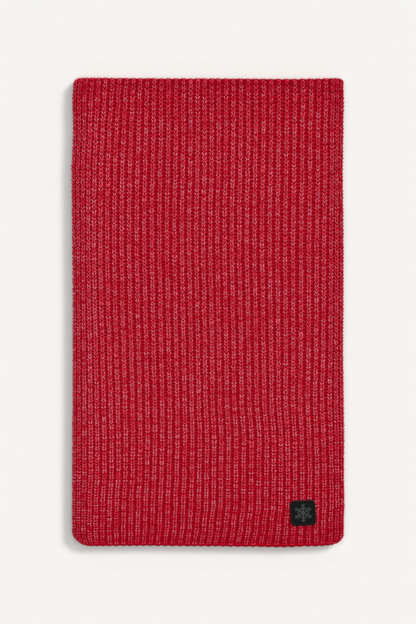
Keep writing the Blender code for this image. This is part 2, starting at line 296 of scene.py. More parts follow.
def insets(along):
    """How far a hidden stretch's sides lie in from the front stretch's, smooth from one to the next."""
    left = np.interp(along, MIDDLES, [stretch.left_inset * MM for stretch in STRETCHES])
    right = np.interp(along, MIDDLES, [stretch.right_inset * MM for stretch in STRETCHES])
    front = ease((along - ENDS[FRONT]) / STRETCHES[OUTER_FOLD].run)
    return left * front, right * front


def side_lines(along):
    from_end, to_fold = edge_distances(along)
    left, right, pull_left, pull_right = sides(from_end, to_fold)
    left_inset, right_inset = insets(along)
    return left + pull_left + left_inset, right - pull_right - right_inset


def wale_line(wale, along):
    """X of a wale number at a place along the strip. Corners gather the ribs near them."""
    from_end, to_fold = edge_distances(along)
    left, right, pull_left, pull_right = sides(from_end, to_fold)
    left_inset, right_inset = insets(along)
    share = share_of(wale)
    from_left = share * (right - left)
    from_right = (1 - share) * (right - left)
    near_left = np.maximum(0.0, 1 - from_left / CORNER_REACH) ** 2
    near_right = np.maximum(0.0, 1 - from_right / CORNER_REACH) ** 2
    x = left + from_left + lean(wale, from_end)
    x = x + pull_left * near_left - pull_right * near_right
    return x + left_inset * (1 - share) - right_inset * share


def lay(x, along, height):
    """Points of the strip, where height is above the face that turns inwards at the outer fold."""
    near, far = free_end(x), fold_end(x)
    fold_y = far - FOLD_RADIUS
    nose_y = near + NOSE_INSET + LAYER
    last_y = near + CAST_ON_INSET
    number, s = along_stretches(along)
    outer, inner = FOLD_INSIDE + height, LAYER - height
    y = np.choose(number, [
        near + along * (far - near) / LENGTH,
        fold_y + outer * np.sin(pi * s[OUTER_FOLD]),
        fold_y + (nose_y - fold_y) * s[UNDER],
        nose_y - height * np.sin(pi * s[MIDDLE_FOLD]),
        nose_y + (fold_y - nose_y) * s[INSIDE],
        fold_y + inner * np.sin(pi * s[INNER_FOLD]),
        fold_y + (last_y - fold_y) * s[LAST],
    ])
    z = np.choose(number, [
        STACK - LAYER + height,
        FOLD_RADIUS + outer * np.cos(pi * s[OUTER_FOLD]),
        LAYER - height,
        LAYER - height * np.cos(pi * s[MIDDLE_FOLD]),
        LAYER + height,
        FOLD_RADIUS - inner * np.cos(pi * s[INNER_FOLD]),
        STACK - LAYER - height,
    ])
    return np.stack([x, y, np.maximum(z, FLOOR_GAP)], -1)


def rounded(x, along, height):
    """A height, lowered near the sides and the free end as the cloth thins out there."""
    left, right = side_lines(along)
    to_side = np.clip(1 - np.minimum(x - left, right - x) / SIDE_ROUND, 0.0, 1.0)
    fold_share = (along - STARTS[OUTER_FOLD]) / STRETCHES[OUTER_FOLD].run
    over_fold = np.sin(pi * np.clip(fold_share, 0.0, 1.0))
    side_drop = SIDE_DROP * (1 - FOLD_FULLNESS * over_fold)
    to_end = 1 - ease((along - 2 * EDGE_RADIUS) / END_ROUND)
    at_end = np.clip(1 - along / (2 * EDGE_RADIUS), 0.0, 1.0)
    return height * (1 - side_drop * to_side**2) * (1 - END_DROP * to_end - LAST_DROP * at_end**2)


def row_places():
    """Where each row of stitches starts along the strip."""
    places = [FIRST_ROW]
    while places[-1] < ENDS[-1]:
        places.append(places[-1] + float(column(ROW_PITCHES, "pitch", places[-1])))
    return np.array(places)


ROWS = row_places()


def row_line(row):
    """The place along the strip of a row number that may lie between rows or before the first."""
    first = ROWS[1] - ROWS[0]
    return np.where(row < 0, ROWS[0] + row * first, np.interp(row, np.arange(len(ROWS)), ROWS))


def rows_from(start, end):
    """The numbers of the rows that start between two places along the strip."""
    return np.flatnonzero((ROWS >= start) & (ROWS < end))


def crowding(along):
    """1 on the middle of the outer and the middle fold, falling to 0 away from them."""
    outer = np.exp(-(((along - MIDDLES[OUTER_FOLD]) / FOLD_CROWD) ** 2))
    return outer + np.exp(-(((along - MIDDLES[MIDDLE_FOLD]) / FOLD_CROWD) ** 2))


def snug_at(along):
    """1 where the knitting is tight, near the free end, falling to 0 where its rows are longer."""
    return 1 - ease((along - TIGHT_UNTIL) / TIGHT_FADE)


def edge_shade_at(wale, along):
    """How much painted shade darkens the stitches where the cloth rounds off: 1 at the free end and
    round the outer fold, and a half at the outermost wales.
    """
    to_fold = np.maximum(TOP_RUN + FOLD_SHADE_PAST - along, 0.0)
    near_end = sum(1 - ease(along / reach) for reach in END_SHADE_REACH) / len(END_SHADE_REACH)
    near_fold = sum(1 - ease(to_fold / reach) for reach in FOLD_SHADE_REACH) / len(FOLD_SHADE_REACH)
    from_side = np.minimum(wale, WALES - 1 - wale)
    return near_end + near_fold + SIDE_SHADE * (1 - ease(from_side / SIDE_SHADE_WALES))


# Making pieces.


def piece_from(name, bm):
    """A new object at the origin, with the bmesh as its mesh."""
    mesh = bpy.data.meshes.new(name)
    bm.to_mesh(mesh)
    bm.free()
    obj = bpy.data.objects.new(name, mesh)
    bpy.context.scene.collection.objects.link(obj)
    return obj


def finish_piece(obj, mat, replaced=None):
    """Gives a piece its material and body, and hides the solid that it is shown in place of."""
    obj.data.materials.append(mat)
    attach(obj, "root")
    if replaced:
        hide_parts(replaced)
    return obj


def points_of(obj):
    flat = np.empty(len(obj.data.vertices) * 3, np.float32)
    obj.data.vertices.foreach_get("co", flat)
    return flat.reshape(-1, 3).astype(float)


def move_points(obj, points):
    obj.data.vertices.foreach_set("co", points.reshape(-1).astype(np.float32))
    obj.data.update()


def store(obj, name, values):
    """Keeps a number for each point of the mesh."""
    layer = obj.data.attributes.new(name, "FLOAT", "POINT")
    layer.data.foreach_set("value", values.reshape(-1).astype(np.float32))


def repeated(obj, count):
    """The object's mesh, repeated in line count times with Array modifiers, as one mesh."""
    array = obj.modifiers.new("repeat", "ARRAY")
    array.count = count
    array.use_relative_offset = False
    array.use_constant_offset = True
    array.constant_offset_displace = (1.0, 0.0, 0.0)
    evaluated = obj.evaluated_get(bpy.context.evaluated_depsgraph_get())
    mesh = bpy.data.meshes.new_from_object(evaluated)
    obj.modifiers.clear()
    single, obj.data = obj.data, mesh
    bpy.data.meshes.remove(single)


# One length of yarn, as a closed spindle through a few rings. "along" is in rows, the rest in mm.
YarnRing = namedtuple("YarnRing", "along aside up radius")

# A stitch is one length of yarn or a mirrored pair. Some lie differently where the rows are tight.
Stitch = namedtuple("Stitch", "rings ring_sides paired tight_rings", defaults=(None,))


def add_yarn(bm, rings, ring_sides, mirrored):
    """Adds a closed length of yarn that follows the rings, thin at both ends."""
    made = bmesh.ops.create_uvsphere(
        bm, u_segments=ring_sides, v_segments=len(rings) - 1, radius=1.0, calc_uvs=True
    )
    for vert in made["verts"]:
        turn = np.arctan2(vert.co.y, vert.co.x)
        ring = rings[round(np.arccos(np.clip(vert.co.z, -1, 1)) / pi * (len(rings) - 1))]
        aside = mirrored * ring.aside + ring.radius * cos(turn)
        vert.co = (aside * MM, ring.along, (ring.up + ring.radius * sin(turn)) * MM)


def stitch_template(name, rings, stitch):
    bm = bmesh.new()
    bm.loops.layers.uv.new(YARN_UV)
    for mirrored in (1, -1) if stitch.paired else (1,):
        add_yarn(bm, rings, stitch.ring_sides, mirrored)
    bmesh.ops.recalc_face_normals(bm, faces=bm.faces)
    return piece_from(name, bm)


def knit(name, stitch, wales, rows, seed, place, mat):
    """Repeats a stitch over wales and rows, and sets every copy in its place with place()."""
    obj = stitch_template(name, stitch.rings, stitch)
    local = points_of(obj)[None, None]
    along_strip = row_line(np.asarray(rows, float))
    snug = snug_at(along_strip)
    if stitch.tight_rings:
        tight_obj = stitch_template("tight", stitch.tight_rings, stitch)
        local = local + (points_of(tight_obj) - local) * snug[None, :, None, None]
        bpy.data.objects.remove(tight_obj)
    repeated(obj, len(wales) * len(rows))
    chance = np.random.default_rng(seed)
    shape = (len(wales), len(rows), 1)

    def vary(amount):
        """A random number for each stitch, mostly within the amount of 0."""
        return amount * chance.normal(size=shape)

    wale = np.asarray(wales, float)[:, None, None]
    row = np.asarray(rows, float)[None, :, None]
    aside, along, up = (local[..., k] for k in range(3))
    points = place(vary, wale, row, aside, along, up)
    move_points(obj, points)
    for label, values in (
        (YARN_CHANCE, chance.random(shape)),
        (YARN_SNUG, snug[None, :, None]),
        (YARN_EDGE_SHADE, edge_shade_at(wale, along_strip[None, :, None])),
    ):
        store(obj, label, np.broadcast_to(values, points.shape[:3]))
    obj.data.shade_smooth()
    return finish_piece(obj, mat)


def wall(name, around, length, place, ring=False, marks=None):
    """A closed tube of around by length cells, whose points place() gives from their numbers.

    marks() gives more numbers to keep for each point, by name.
    """
    bm = bmesh.new()
    bmesh.ops.create_grid(bm, x_segments=around, y_segments=length, size=0.5)
    number = np.array([vert.co[:2] for vert in bm.verts]) + 0.5
    across = np.round(number[:, 0] * around).astype(int) % around
    step = np.round(number[:, 1] * length).astype(int)
    if marks:
        for mark, values in marks(across, step).items():
            layer = bm.verts.layers.float.new(mark)
            for vert, value in zip(bm.verts, values):
                vert[layer] = value
    for vert, point in zip(bm.verts, place(across, step % length if ring else step)):
        vert.co = point
    bmesh.ops.remove_doubles(bm, verts=bm.verts, dist=1e-6)
    rims = [edge for edge in bm.edges if edge.is_boundary]
    bmesh.ops.holes_fill(bm, edges=rims, sides=0)
    bmesh.ops.recalc_face_normals(bm, faces=bm.faces)
    obj = piece_from(name, bm)
    obj.data.shade_smooth()
    return obj


# How the stitches lie on the strip: heights are above the plain inside of the cloth.
LEG = (
    YarnRing(-0.52, 0.24, -1.30, 0.0),
    YarnRing(-0.10, 0.46, -0.06, 0.72),
    YarnRing(0.34, 1.20, 0.12, 0.78),
    YarnRing(0.76, 1.72, -0.12, 0.64),
    YarnRing(1.14, 1.84, -1.20, 0.0),
)
TIGHT_LEG = (
    YarnRing(-0.52, 0.24, -1.50, 0.0),
    YarnRing(-0.08, 0.56, -0.12, 0.66),
    YarnRing(0.34, 1.24, 0.16, 0.80),
    YarnRing(0.76, 1.86, -0.12, 0.66),
    YarnRing(1.12, 2.12, -1.40, 0.0),
)
UNDER_LEG = (
    YarnRing(-0.42, 0.16, -1.30, 0.0),
    YarnRing(0.00, 0.62, 0.00, 0.80),
    YarnRing(0.58, 1.46, 0.00, 0.72),
    YarnRing(0.92, 1.80, -1.10, 0.0),
)
BAR = (
    YarnRing(-1.0, 0.0, -0.40, 0.0),
    YarnRing(-0.50, 0.0, 0.0, 0.74),
    YarnRing(0.50, 0.0, 0.0, 0.74),
    YarnRing(1.0, 0.0, -0.40, 0.0),
)
EDGE_STRAND = (
    YarnRing(-0.62, 0.40, -0.80, 0.0),
    YarnRing(-0.30, 0.90, 0.00, 0.60),
    YarnRing(0.04, 1.70, 0.15, 0.70),
    YarnRing(0.36, 2.60, 0.05, 0.60),
    YarnRing(0.66, 3.40, -0.80, 0.0),
)
FRONT_STITCH = Stitch(LEG, ring_sides=6, paired=True, tight_rings=TIGHT_LEG)
FOLD_STITCH = Stitch(LEG, ring_sides=6, paired=True)
UNDER_STITCH = Stitch(UNDER_LEG, ring_sides=4, paired=True)
PURL_BAR = Stitch(BAR, ring_sides=6, paired=False)
SIDE_STRAND = Stitch(EDGE_STRAND, ring_sides=6, paired=False)

SPREAD_ACROSS = 0.00011
SPREAD_ROW = 0.070
SPREAD_SIZE = 0.06
LEG_HEIGHT = 0.00305
LEG_ROOM = 0.0021  # half the width of a column of plain stitches
LEG_MIDDLE = 0.4  # of a row, from where a plain stitch starts
NARROW_UNDER = 0.0058  # ribs closer together than this have narrower stitches
NARROWEST = 0.7
CREST_FILL = 0.0007  # how far crests and valleys fill up on a fold
VALLEY_FILL = 0.0014
BAR_PHASE = 0.45  # of a row, where a purl bar crosses it
BAR_HEIGHT = 0.00180
BAR_REACH = 0.0015  # how far a bar passes under the legs beside it
BAR_LEAST = 0.0007  # half the length of the shortest
BAR_SLANT = 0.10  # of a row, up or down at either end
BAR_BOW = 0.30  # of a row, back at both ends
BAR_SPREAD = 1.35
BAR_SLIM = 0.42  # narrower by this share on the folds, where each row shows two
BAR_FLATNESS = 0.9
BAR_PROUD = 0.00012
SNUG_BAR_SPREAD = 0.85  # more, where the rows are tight
SNUG_BAR_SINK = 0.0003
ROW_USUAL = 0.0031
STRAND_HEIGHT = 0.0036
STRAND_PROUD = 0.00014
SIDE_TURN = 0.0017  # in from a side, where the face starts to turn over it
TURN_REACH = 0.0013
TURN_HEIGHT = 0.00135


def settle(x, along, height):
    """Points on the face of the strip. What reaches past a side follows it round and under."""
    left, right = side_lines(along)
    kept = np.clip(x, left + SIDE_TURN, right - SIDE_TURN)
    angle = np.clip((x - kept) / TURN_REACH, -pi, pi)
    reach = rounded(kept, along, height) - TURN_HEIGHT
    return lay(kept + reach * np.sin(angle), along, TURN_HEIGHT + reach * np.cos(angle))


def rib_room(wale, along):
    """The distance between neighbouring crests at a wale."""
    low = np.maximum(wale - 0.5, 0)
    high = np.minimum(wale + 0.5, WALES - 1)
    return (wale_line(high, along) - wale_line(low, along)) / (high - low)


def place_legs(vary, wale, row, aside, along, up):
    """Plain stitches stand on the crests of the ribs."""
    at_row = row + vary(SPREAD_ROW)
    size = 1 + vary(SPREAD_SIZE)
    shift = vary(SPREAD_ACROSS)
    room = rib_room(wale, row_line(at_row + LEG_MIDDLE))
    narrow = np.clip(room / NARROW_UNDER, NARROWEST, 1.0)
    place = row_line(at_row + along)
    x = wale_line(wale, place) + aside * size * narrow + shift
    return settle(x, place, LEG_HEIGHT + CREST_FILL * crowding(place) + up * size)


def place_bars(vary, wale, row, aside, along, up):
    """Purl stitches cross the valleys: a bar's own length runs across the cloth."""
    at_row = row + BAR_PHASE + vary(SPREAD_ROW)
    size = 1 + vary(SPREAD_SIZE)
    slant = vary(BAR_SLANT)
    proud = vary(BAR_PROUD)
    middle = row_line(at_row)
    room = wale_line(wale + 0.5, middle) - wale_line(wale - 0.5, middle)
    half = np.maximum(room / 2 - LEG_ROOM + BAR_REACH, BAR_LEAST)
    row_room = (row_line(at_row + 0.5) - row_line(at_row - 0.5)) / ROW_USUAL
    x = wale_line(wale, middle) + along * half
    snug = snug_at(middle)
    wide = (BAR_SPREAD + SNUG_BAR_SPREAD * snug) * (1 - BAR_SLIM * crowding(middle))
    bowed = at_row + slant * along - BAR_BOW * along**2
    place = row_line(bowed) + aside * size * wide * row_room
    height = BAR_HEIGHT + proud + VALLEY_FILL * crowding(place) - SNUG_BAR_SINK * snug
    return settle(x, place, height + up * size * BAR_FLATNESS)


def place_strands(vary, side, row, aside, along, up):
    """Slanting strands wrap the two sides: side is -1 on the left and 1 on the right."""
    at_row = row + vary(SPREAD_ROW)
    size = 1 + vary(SPREAD_SIZE)
    proud = vary(STRAND_PROUD)
    place = row_line(at_row + along)
    left, right = side_lines(place)
    x = np.where(side < 0, left + SIDE_TURN - aside, right - SIDE_TURN + aside)
    return settle(x, place, STRAND_HEIGHT + proud + up * size)


# The cloth under the stitches, as closed walls.
CLOTH_CREST = 0.00220
CREST_SINK = 0.00020  # where the rows are tight
CLOTH_VALLEY = 0.00165
CLOTH_INSIDE = 0.00020
FOLD_FLATTER = 0.5  # the ribs of the wall are lower by this share on the folds
RIB_STEPS = 4
INSIDE_POINTS = 12
FACE_INSET = 0.0018
SidePoint = namedtuple("SidePoint", "bulge height")
SIDE_POINTS = (SidePoint(0.0010, 0.0020), SidePoint(0.0007, 0.0013), SidePoint(0.0010, 0.0007))
FACE, RIGHT, PLAIN, LEFT = range(4)  # the parts round a wall, in order


def cloth_round():
    """The points round a wall: the part each is on, where it lies on that, and its height."""
    around = [(FACE, step / RIB_STEPS - 0.5, 0.0) for step in range(WALES * RIB_STEPS + 1)]
    around += [(RIGHT, *point) for point in SIDE_POINTS]
    around += [(PLAIN, k / (INSIDE_POINTS - 1), CLOTH_INSIDE) for k in range(INSIDE_POINTS)]
    around += [(LEFT, *point) for point in reversed(SIDE_POINTS)]
    return np.array(around).T


def cloth_wall(name, stations, ribbed_to, mat, replaced):
    """A closed wall round one stretch: ribs on its face, rounded sides, a plain inside."""
    around = cloth_round()

    def place(across, step):
        part, number, level = around[:, across]
        along = stations[step]
        left, right = side_lines(along)
        wale = np.where(part == FACE, number, WALES - 0.5)
        face_x = np.clip(wale_line(wale, along), left + FACE_INSET, right - FACE_INSET)
        plain_x = (right - FACE_INSET) * (1 - number) + (left + FACE_INSET) * number
        x = np.choose(part.astype(int), [face_x, right - number, plain_x, left + number])
        rise = (0.5 + 0.5 * np.cos(2 * pi * wale)) * (1 - FOLD_FLATTER * crowding(along))
        crest = CLOTH_CREST - CREST_SINK * snug_at(along)
        crest = crest - (crest - CLOTH_VALLEY) * np.where(along < ribbed_to, 1 - rise, 0)
        return lay(x, along, np.where(part == FACE, rounded(x, along, crest), level))

    def marks(across, step):
        row = np.interp(stations[step], ROWS, np.arange(len(ROWS)))
        return {CLOTH_WALE: across / RIB_STEPS - 0.5, CLOTH_ROW: row}

    obj = wall(name, around.shape[1], len(stations) - 1, place, marks=marks)
    return finish_piece(obj, mat, replaced)


# The chains of loops that finish the two free ends: a round core with links on its outer side.
LINK = (
    YarnRing(-0.40, 0.10, -0.50, 0.0),
    YarnRing(-0.14, 0.34, 0.00, 0.42),
    YarnRing(0.30, 0.72, 0.08, 0.50),
    YarnRing(0.72, 0.86, 0.02, 0.46),
    YarnRing(1.04, 0.50, -0.50, 0.0),
)
CHAIN_LINK = Stitch(LINK, ring_sides=8, paired=True)
LINK_PITCH = 0.0030
LINK_START = 0.3  # of the pitch, from the corner
LINKS_SPARE = 0.4  # of the pitch, left over at both corners together
LINK_CORE = 0.00092
LINK_WRAP = 0.00092
CORE_RADIUS = 0.00090
CORE_SIDES = 8
CORE_STEPS = 72
CORNER_RISE = 0.0018  # of a chain's two ends, round the free corners
CORNER_RUN = 0.009
CORNER_MOST = 1.3  # how far on the rise goes, past the corner
END_THIN = 0.7
RIB_BULGE = 0.00035  # each rib pushes its chain out

# A free end's chain: how far its middle lies from the end, its height, and which way it faces.
Chain = namedtuple("Chain", "name node from_end height inset facing seed")
CHAINS = (
    Chain("bound_off_chain", "bound_off_edge", 0.0006, 0.0131, 0.0, radians(66), 41),
    Chain("cast_on_chain", "cast_on_edge", 2 * EDGE_RADIUS, 2.5 * LAYER, SIDE_UNDERCUT, radians(90), 42),
)


def chain_ends(chain):
    left, right, pull_left, pull_right = sides(0.0, LENGTH)
    return left + pull_left + chain.inset, right - pull_right - chain.inset


def round_chain(chain, x, angle, radius):
    """Points round a chain's middle line, which rises a little at the two corners."""
    left, right = chain_ends(chain)
    to_corner = np.clip(1 - np.minimum(x - left, right - x) / CORNER_RUN, 0.0, CORNER_MOST)
    wales = np.arange(WALES)
    wale = np.interp(x, wale_line(wales, np.zeros(WALES)), wales)
    bulge = RIB_BULGE * np.cos(2 * pi * wale)
    middle = free_end(x) + chain.from_end + CORNER_RISE * to_corner**2 - bulge
    thick = radius * (1 - (1 - END_THIN) * np.minimum(to_corner, 1) ** 3)
    turned = chain.facing + angle
    return np.stack([x, middle - thick * np.sin(turned), chain.height + thick * np.cos(turned)], -1)


def build_chain(chain, core_mat, link_mat):
    left, right = chain_ends(chain)
    count = round((right - left) / LINK_PITCH)
    pitch = (right - left) / (count + LINKS_SPARE)

    def place_core(across, step):
        x = left + (right - left) * step / CORE_STEPS
        return round_chain(chain, x, 2 * pi * across / CORE_SIDES, CORE_RADIUS)

    def place_links(vary, link, row, aside, along, up):
        size = 1 + vary(SPREAD_SIZE)
        x = left + (link + LINK_START + along) * pitch
        return round_chain(chain, x, aside * size / LINK_WRAP, LINK_CORE + up * size)

    core = wall(f"{chain.name}_core", CORE_SIDES, CORE_STEPS, place_core)
    finish_piece(core, core_mat, chain.node)
    knit(chain.name, CHAIN_LINK, range(count), [0], chain.seed, place_links, link_mat)


# The badge: a twill patch, an overlocked border and a snowflake in satin stitch.
PATCH_CELLS = 28
PATCH_ROUND = 0.10
PATCH_LOW = STACK - 0.0002
PATCH_TOP = STACK + 0.0011
PATCH_UNCOVERED = 0.4  # of the border's width, from the badge's edge in to the patch's
PATCH_SHARP = radians(40)
RIPPLE = 0.00010
RIPPLE_ACROSS = 0.0077
RIPPLE_ALONG = 0.0031  # for each radian of its wave
RIPPLE_ALONG_SHARE = 0.6
BORDER_LOW = STACK - 0.0003
BORDER_SLANT = 0.0005
BORDER_INNER_DROP = 0.3
BORDER_CORE_SIDES = 8
BORDER_CORE_STEPS = 96
BORDER_CORE_REACH = 0.42  # of the border's width, either way from its middle
BORDER_CORE_LIFT = 0.0001
BORDER_CORE_COVER = 0.0002  # of thread over the core
SATIN_YARN = (
    YarnRing(-1.0, 0.0, -0.20, 0.0),
    YarnRing(-0.70, 0.0, 0.00, 0.25),
    YarnRing(0.0, 0.0, 0.04, 0.27),
    YarnRing(0.70, 0.0, 0.00, 0.25),
    YarnRing(1.0, 0.0, -0.20, 0.0),
)
SATIN_THREAD = Stitch(SATIN_YARN, ring_sides=5, paired=False)
THREAD_STEP = 0.00042
THREAD_SPREAD = 0.00004

# The snowflake's satin bars on one arm, in mm from its middle: where each starts and how it runs.
SatinBar = namedtuple("SatinBar", "start turn length width")
SNOWFLAKE_BARS = (
    SatinBar(0.2, 0, 8.8, 1.6),
    SatinBar(3.4, 58, 3.0, 1.3),
    SatinBar(3.4, -58, 3.0, 1.3),
    SatinBar(6.4, 58, 2.0, 1.2),
    SatinBar(6.4, -58, 2.0, 1.2),
)
SNOWFLAKE_ARMS = 6
SATIN_STEP = 0.00036
SATIN_RISE = 0.00042
SATIN_FALL = 0.6  # of the rise, at both ends of a thread
SATIN_SLANT = 0.35
SATIN_SPREAD = 0.06


def on_badge(x, y, z):
    """Turns the badge's own plan and sets it in its place on the cloth."""
    c, s = cos(BADGE_TURN), sin(BADGE_TURN)
    return np.stack([BADGE_AT[0] + x * c - y * s, BADGE_AT[1] + x * s + y * c, z + 0 * x], -1)


BADGE_STRAIGHT = BADGE_SIDE - 2 * BADGE_ROUND
QUARTER_RUN = BADGE_STRAIGHT + pi / 2 * BADGE_ROUND  # one side and one corner
OUTLINE_RUN = 4 * QUARTER_RUN


def badge_edge(distance, inset):
    """A point of the badge's rounded outline, at a distance round it, moved in by inset."""
    distance = np.mod(distance, OUTLINE_RUN)
    quarter = np.floor(distance / QUARTER_RUN)
    run = distance - quarter * QUARTER_RUN
    turn = np.maximum(run - BADGE_STRAIGHT, 0.0) / BADGE_ROUND
    out = BADGE_ROUND - inset
    x = BADGE_STRAIGHT / 2 + out * np.cos(turn)
    y = np.minimum(run, BADGE_STRAIGHT) - BADGE_STRAIGHT / 2 + out * np.sin(turn)
    c, s = np.cos(pi / 2 * quarter), np.sin(pi / 2 * quarter)
    return x * c - y * s, x * s + y * c


def build_patch(mat):
    """The twill ground, which gives a little to the ribs under it."""
    bm = bmesh.new()
    half = BADGE_SIDE / 2 - BORDER_WIDTH * PATCH_UNCOVERED
    bmesh.ops.create_grid(bm, x_segments=PATCH_CELLS, y_segments=PATCH_CELLS, size=1.0)
    made = bmesh.ops.extrude_face_region(bm, geom=list(bm.faces))
    top = {item for item in made["geom"] if isinstance(item, bmesh.types.BMVert)}
    for vert in bm.verts:
        u, v = vert.co.x, vert.co.y
        x = half * u * (1 - PATCH_ROUND * v * v) ** 0.5
        y = half * v * (1 - PATCH_ROUND * u * u) ** 0.5
        waves = cos(2 * pi * x / RIPPLE_ACROSS) + RIPPLE_ALONG_SHARE * sin(y / RIPPLE_ALONG)
        vert.co = on_badge(x, y, (PATCH_TOP if vert in top else PATCH_LOW) + RIPPLE * waves)
    bmesh.ops.recalc_face_normals(bm, faces=bm.faces)
    patch = piece_from("twill_patch", bm)
    patch.data.shade_smooth()
    patch.data.set_sharp_from_angle(angle=PATCH_SHARP)
    finish_piece(patch, mat, "badge_patch")


def border_arch(across):
    """The height of the border, where across runs from -1 outside to 1 inside."""
    arch = BORDER_HEIGHT * np.sqrt(np.maximum(1 - across**2, 0.0))
    foot = np.where(across > 0, PATCH_TOP - BORDER_LOW, 0.0) * across**2
    return BORDER_LOW + arch * (1 - BORDER_INNER_DROP * np.maximum(across, 0)) + foot


def build_border(mat):
    count = round(OUTLINE_RUN / THREAD_STEP)

    def place_core(across, step):
        turn = 2 * pi * across / BORDER_CORE_SIDES
        reach = 0.5 + BORDER_CORE_REACH * np.cos(turn)
        x, y = badge_edge(OUTLINE_RUN * step / BORDER_CORE_STEPS, BORDER_WIDTH * reach)
        low = BORDER_LOW + BORDER_CORE_LIFT
        arched = np.maximum(border_arch(2 * reach - 1) - BORDER_CORE_COVER, low + BORDER_CORE_LIFT)
        return on_badge(x, y, np.where(np.sin(turn) > 0, arched, low))

    def place_threads(vary, wale, row, aside, along, up):
        distance = row * OUTLINE_RUN / count + aside + vary(THREAD_SPREAD) + BORDER_SLANT * along
        x, y = badge_edge(distance, BORDER_WIDTH * (0.5 + 0.5 * along))
        return on_badge(x, y, border_arch(along) + up)

    core = wall("border_core", BORDER_CORE_SIDES, BORDER_CORE_STEPS, place_core, ring=True)
    finish_piece(core, mat, "badge_border")
    knit("border_threads", SATIN_THREAD, [0], range(count), 51, place_threads, mat)


def build_snowflake(mat):
    """Each bar of the snowflake is a run of short threads laid side by side across it."""
    threads = []
    for arm in range(SNOWFLAKE_ARMS):
        arm_turn = 2 * pi * (arm + 0.5) / SNOWFLAKE_ARMS
        for bar in SNOWFLAKE_BARS:
            start_x, start_y = bar.start * MM * cos(arm_turn), bar.start * MM * sin(arm_turn)
            turn = arm_turn + radians(bar.turn)
            for thread in range(round(bar.length * MM / SATIN_STEP)):
                run = SATIN_STEP * (thread + 0.5)
                threads.append((start_x, start_y, turn, run, bar.width * MM / 2))

    def place(vary, wale, row, aside, along, up):
        start_x, start_y, turn, run, half = np.array(threads).T[:, row.astype(int)]
        half = half * (1 + vary(SATIN_SPREAD))
        run = run + aside + SATIN_SLANT * half * along
        off = half * along
        c, s = np.cos(turn), np.sin(turn)
        height = PATCH_TOP + SATIN_RISE * (1 - SATIN_FALL * along**2) + up
        return on_badge(start_x + run * c - off * s, start_y + run * s + off * c, height)

    knit("snowflake_threads", SATIN_THREAD, [0], range(len(threads)), 52, place, mat)


# Nodes that the materials are made of.


def join(tree, value, socket):
    """Sets a socket to a plain value, or links another node's output to it."""
    if isinstance(value, bpy.types.NodeSocket):
        tree.links.new(value, socket)
    else:
        socket.default_value = value


def node(tree, kind, inputs=None, **settings):
    made = tree.nodes.new(kind)
    for name, value in settings.items():
        setattr(made, name, value)
    for key, value in (inputs or {}).items():
        join(tree, value, made.inputs[key])
    return made


def maths(tree, operation, *values):
    return node(tree, "ShaderNodeMath", dict(enumerate(values)), operation=operation).outputs[0]


def product(tree, first, *factors):
    for factor in factors:
        first = maths(tree, "MULTIPLY", first, factor)
    return first


def wave(tree, value, turns=1, kind="SINE"):
    """A wave that repeats so many times while the value rises by 1."""
    return maths(tree, kind, product(tree, value, 2 * pi * turns))


def blend(tree, share, low, high):
    """A colour between two others. A Mix node keeps its colours in sockets 6, 7 and 2."""
    return node(tree, "ShaderNodeMix", {0: share, 6: low, 7: high}, data_type="RGBA").outputs[2]


def clamp(tree, value):
    return node(tree, "ShaderNodeClamp", {"Value": value}).outputs[0]


def noise(tree, place, detail, roughness, scale=1.0):
    made = node(tree, "ShaderNodeTexNoise", {
        "Vector": place, "Scale": scale, "Detail": detail, "Roughness": roughness
    })
    return made.outputs["Fac"]


def spread(tree, value, low, high):
    """Maps a mask to a range from low to high."""
    made = node(tree, "ShaderNodeMapRange", {"Value": value, "To Min": low, "To Max": high})
    return made.outputs["Result"]


def smooth_range(tree, value, low, high, start=0.0, end=1.0):
    """Maps low to high onto start to end, with soft shoulders."""
    made = node(tree, "ShaderNodeMapRange", {
        "Value": value, "From Min": low, "From Max": high, "To Min": start, "To Max": end
    }, interpolation_type="SMOOTHSTEP")
    return made.outputs["Result"]


def object_place(tree):
    return node(tree, "ShaderNodeTexCoord").outputs["Object"]


def split(tree, vector):
    return node(tree, "ShaderNodeSeparateXYZ", {"Vector": vector}).outputs


def yarn_place(tree):
    """How far round its length of yarn a point lies, and how far along it, from 0 to 1."""
    place = split(tree, node(tree, "ShaderNodeUVMap", uv_map=YARN_UV).outputs[0])
    return place["X"], place["Y"]


def stored(tree, name):
    """A number that is kept on each point of the piece."""
    return node(tree, "ShaderNodeAttribute", attribute_name=name).outputs["Fac"]


def another(tree, chance, factor):
    """Draws one more number from 0 to 1 out of a stitch's own."""
    return maths(tree, "FRACT", product(tree, chance, factor))


COLOUR, NUMBER = "NodeSocketColor", "NodeSocketFloat"


def new_group(name, inputs, outputs):
    """A shader node group, with the sockets that it is given and those that it has to fill."""
    tree = bpy.data.node_groups.new(name, "ShaderNodeTree")
    for in_out, sockets in (("INPUT", inputs), ("OUTPUT", outputs)):
        for label, kind in sockets.items():
            tree.interface.new_socket(label, in_out=in_out, socket_type=kind)
    return tree, tree.nodes.new("NodeGroupInput").outputs, tree.nodes.new("NodeGroupOutput").inputs


# How deep a bump makes a height of 1, in metres, and how strong it is.
Relief = namedtuple("Relief", "depth strength")


def bump(tree, height, relief, shader):
    made = node(tree, "ShaderNodeBump", {
        "Height": height, "Distance": relief.depth, "Strength": relief.strength
    })
    join(tree, made.outputs["Normal"], shader.inputs["Normal"])


SHEEN_ROUGHNESS = 0.45


def material(name, roughness, specular, sheen=0.0, tint=(1, 1, 1, 1)):
    """A new material. The tint is that of its sheen."""
    mat = bpy.data.materials.new(name)
    mat.use_nodes = True
    shader = mat.node_tree.nodes["Principled BSDF"]
    shader.inputs["Roughness"].default_value = roughness
    shader.inputs["Specular IOR Level"].default_value = specular
    shader.inputs["Sheen Weight"].default_value = sheen
    shader.inputs["Sheen Roughness"].default_value = SHEEN_ROUGHNESS
    shader.inputs["Sheen Tint"].default_value = tint
    return mat, mat.node_tree, shader


